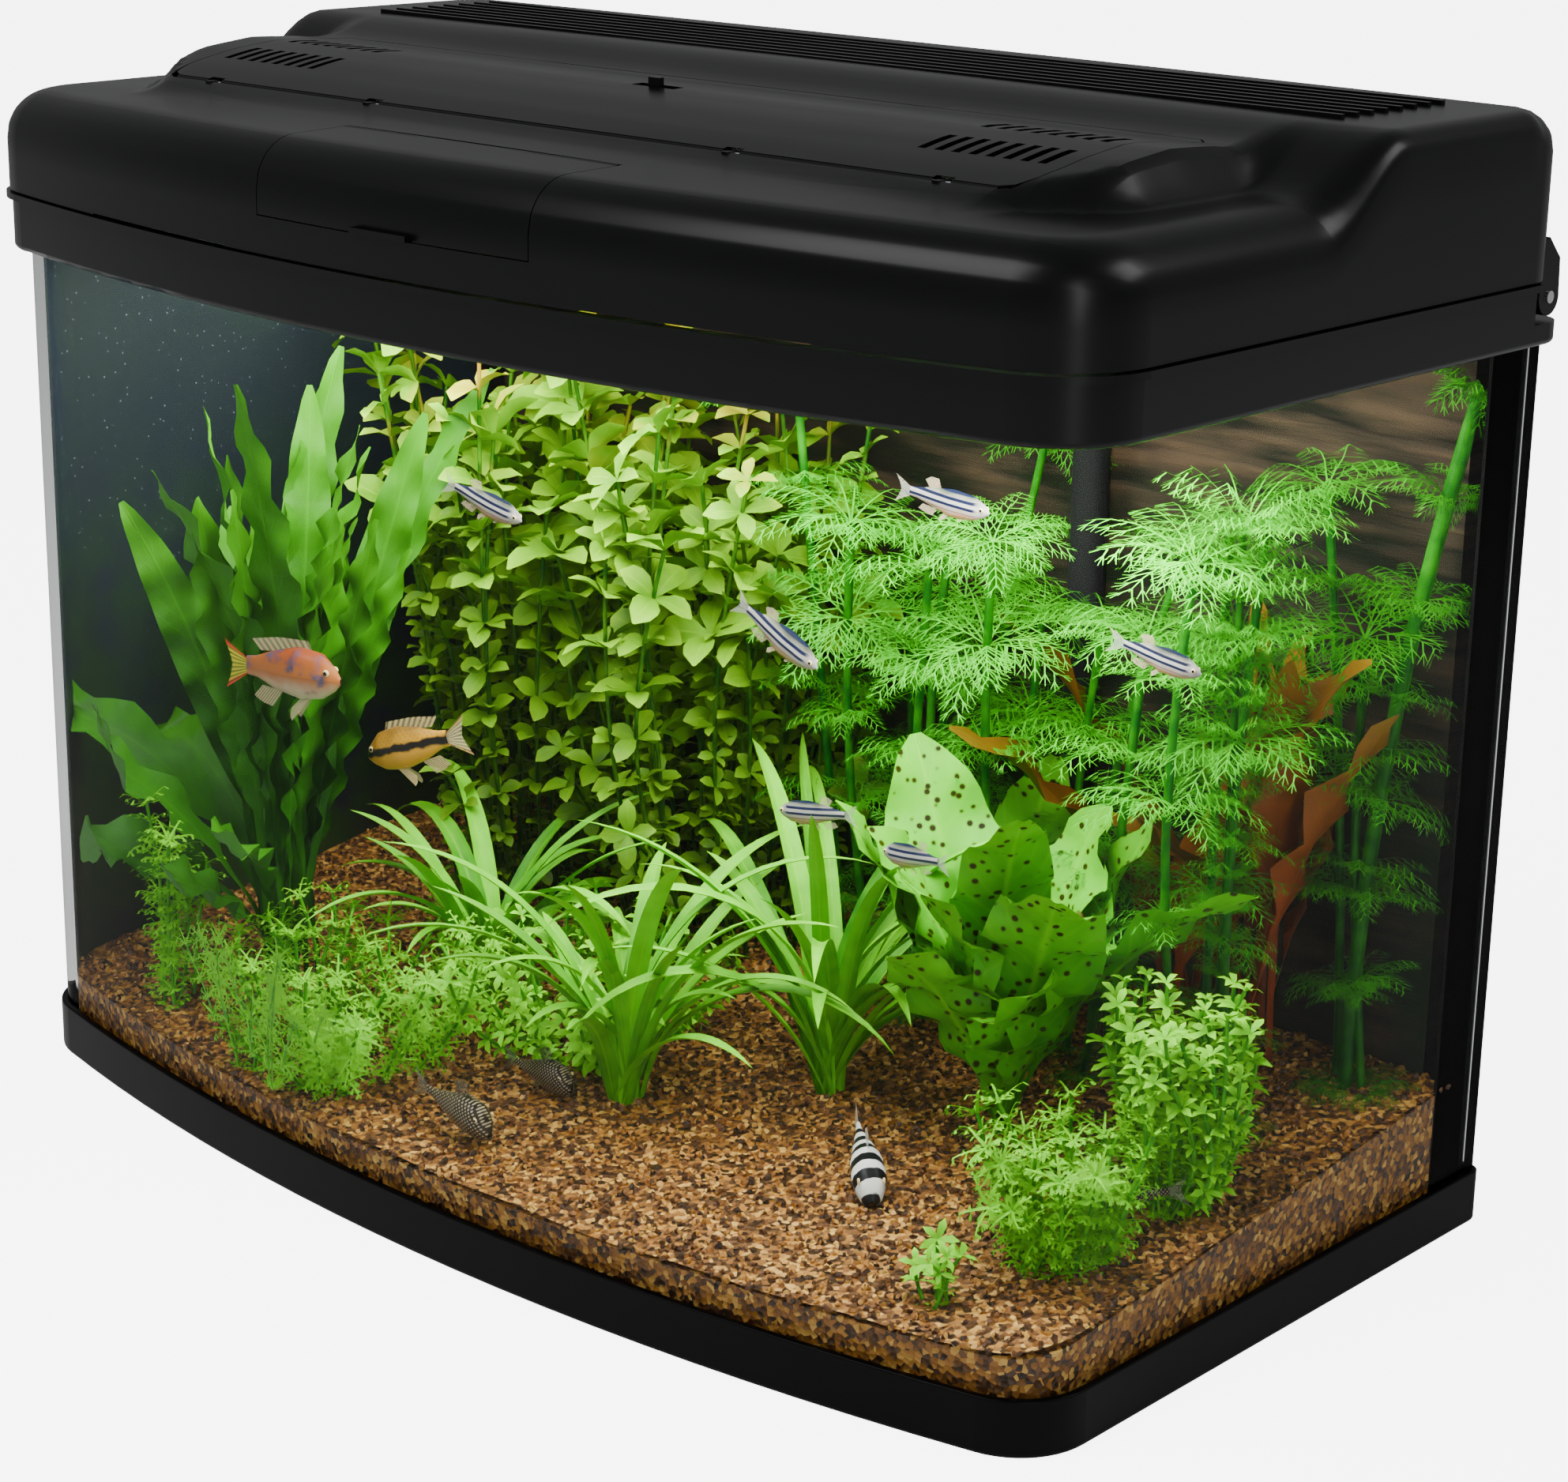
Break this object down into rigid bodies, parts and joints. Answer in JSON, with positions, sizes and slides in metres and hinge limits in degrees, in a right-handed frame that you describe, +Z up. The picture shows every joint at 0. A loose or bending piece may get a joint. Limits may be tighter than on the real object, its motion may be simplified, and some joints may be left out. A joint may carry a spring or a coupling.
{
  "type": "glass aquarium tank",
  "caption": "Bow-front glass aquarium with a black base trim and a hinged moulded hood, planted, with gravel and fish.",
  "frame": {"origin": "centre of the footprint, on the underside of the base trim", "axes": "+X along the length to the right seen from the front, +Y to the rear (the bowed front faces -Y), +Z up"},
  "size_m": [0.62, 0.36, 0.4768],
  "materials": {
    "tank_glass": "clear float glass, polished",
    "silicone": "black silicone",
    "hood_plastic": "satin black moulding",
    "trim_plastic": "satin black moulding",
    "background_sheet": "dark bark-brown relief",
    "end_sheet": "blue-black sheet",
    "gravel": "fine brown and orange gravel",
    "sword_leaf": "long wavy green leaf",
    "stem_leaf": "yellow-green leaf with orange tips",
    "feathery_leaf": "bright green thread leaf",
    "spotted_leaf": "green leaf with brown spots",
    "ribbon_leaf": "green ribbon leaf",
    "fine_leaf": "small bright green leaf",
    "red_leaf": "red-brown leaf",
    "danio_skin": "silver with blue-black stripes",
    "cichlid_skin": "gold with dark marks and red fins",
    "catfish_skin": "brown-black with pale spots",
    "pleco_skin": "white with black stripes",
    "red_skin": "red-brown",
    "steel": "bright pin",
    "lamp_white": "white lamp glass",
    "reflector_sheet": "bright rolled sheet",
    "clear_guard": "clear sheet",
    "inner_plastic": "black moulding, fine texture",
    "gear_case": "light grey case",
    "sponge": "open-cell blue foam",
    "gland_rubber": "black rubber"
  },
  "bodies": {
    "tank": {"bent_glass_panel": "tank_glass", "rear_glass": "tank_glass", "base_glass": "tank_glass", "corner_seal_left": "silicone", "corner_seal_right": "silicone", "base_seal": "silicone", "base_trim": "trim_plastic", "rear_background": "background_sheet", "end_backing": "end_sheet", "gravel_bed": "gravel", "tall_sword_plant": "sword_leaf", "milfoil_stem": "fine_leaf", "leafy_stems_left": "stem_leaf", "leafy_stems_middle": "stem_leaf", "feathery_stems_left": "feathery_leaf", "feathery_stems_middle": "feathery_leaf", "feathery_stem_front": "feathery_leaf", "thick_feathery_stem": "feathery_leaf", "red_leaf_plant": "red_leaf", "spotted_sword_plant": "spotted_leaf", "ribbon_plant_left": "ribbon_leaf", "ribbon_plant_right": "ribbon_leaf", "fine_leaf_bush_left": "fine_leaf", "fine_leaf_bush_middle": "fine_leaf", "fine_leaf_bush_front": "fine_leaf", "fine_leaf_bush_right": "fine_leaf", "low_ribbon_plant": "ribbon_leaf", "small_sprout": "fine_leaf", "striped_danios": "danio_skin", "dwarf_cichlids": "cichlid_skin", "spotted_catfish": "catfish_skin", "striped_pleco": "pleco_skin", "red_fish": "red_skin", "hood_frame": "hood_plastic", "lid_hinge_pins": "steel", "filter_tray": "inner_plastic", "filter_sponge": "sponge", "filter_pump": "inner_plastic", "intake_pipe": "inner_plastic", "intake_strainer": "inner_plastic", "outlet_nozzle": "inner_plastic"},
    "lid": {"hood_lid": "hood_plastic", "flap_hinge_pins": "steel", "lamp_housing": "inner_plastic", "splash_guard": "clear_guard", "lamp_tube_front": "lamp_white", "lamp_tube_rear": "lamp_white", "lamp_holders": "inner_plastic", "reflector": "reflector_sheet", "control_gear": "gear_case", "cable_gland": "gland_rubber"},
    "flap": {"feeding_flap": "hood_plastic"},
    "lamp_cover": {"light_cover": "hood_plastic", "cover_hinge_pins": "steel"},
    "catch": {"cover_catch": "hood_plastic"}
  },
  "joints": [
    {"name": "lid_hinge", "type": "hinge", "parent": "tank", "child": "lid", "pos_m": [0, 0.167, 0.4], "axis": [-1, 0, 0], "range_deg": [0, 70]},
    {"name": "flap_hinge", "type": "hinge", "parent": "lid", "child": "flap", "pos_m": [0, -0.1275, 0.4535], "axis": [-1, 0, 0], "range_deg": [0, 95]},
    {"name": "cover_hinge", "type": "hinge", "parent": "lid", "child": "lamp_cover", "pos_m": [0, -0.0916, 0.4582], "axis": [1, 0, 0], "range_deg": [0, 85]},
    {"name": "catch_slide", "type": "slide", "parent": "lamp_cover", "child": "catch", "axis": [0, 1, 0], "range_m": [0, 0.0025], "stiffness_N_per_m": 300}
  ]
}
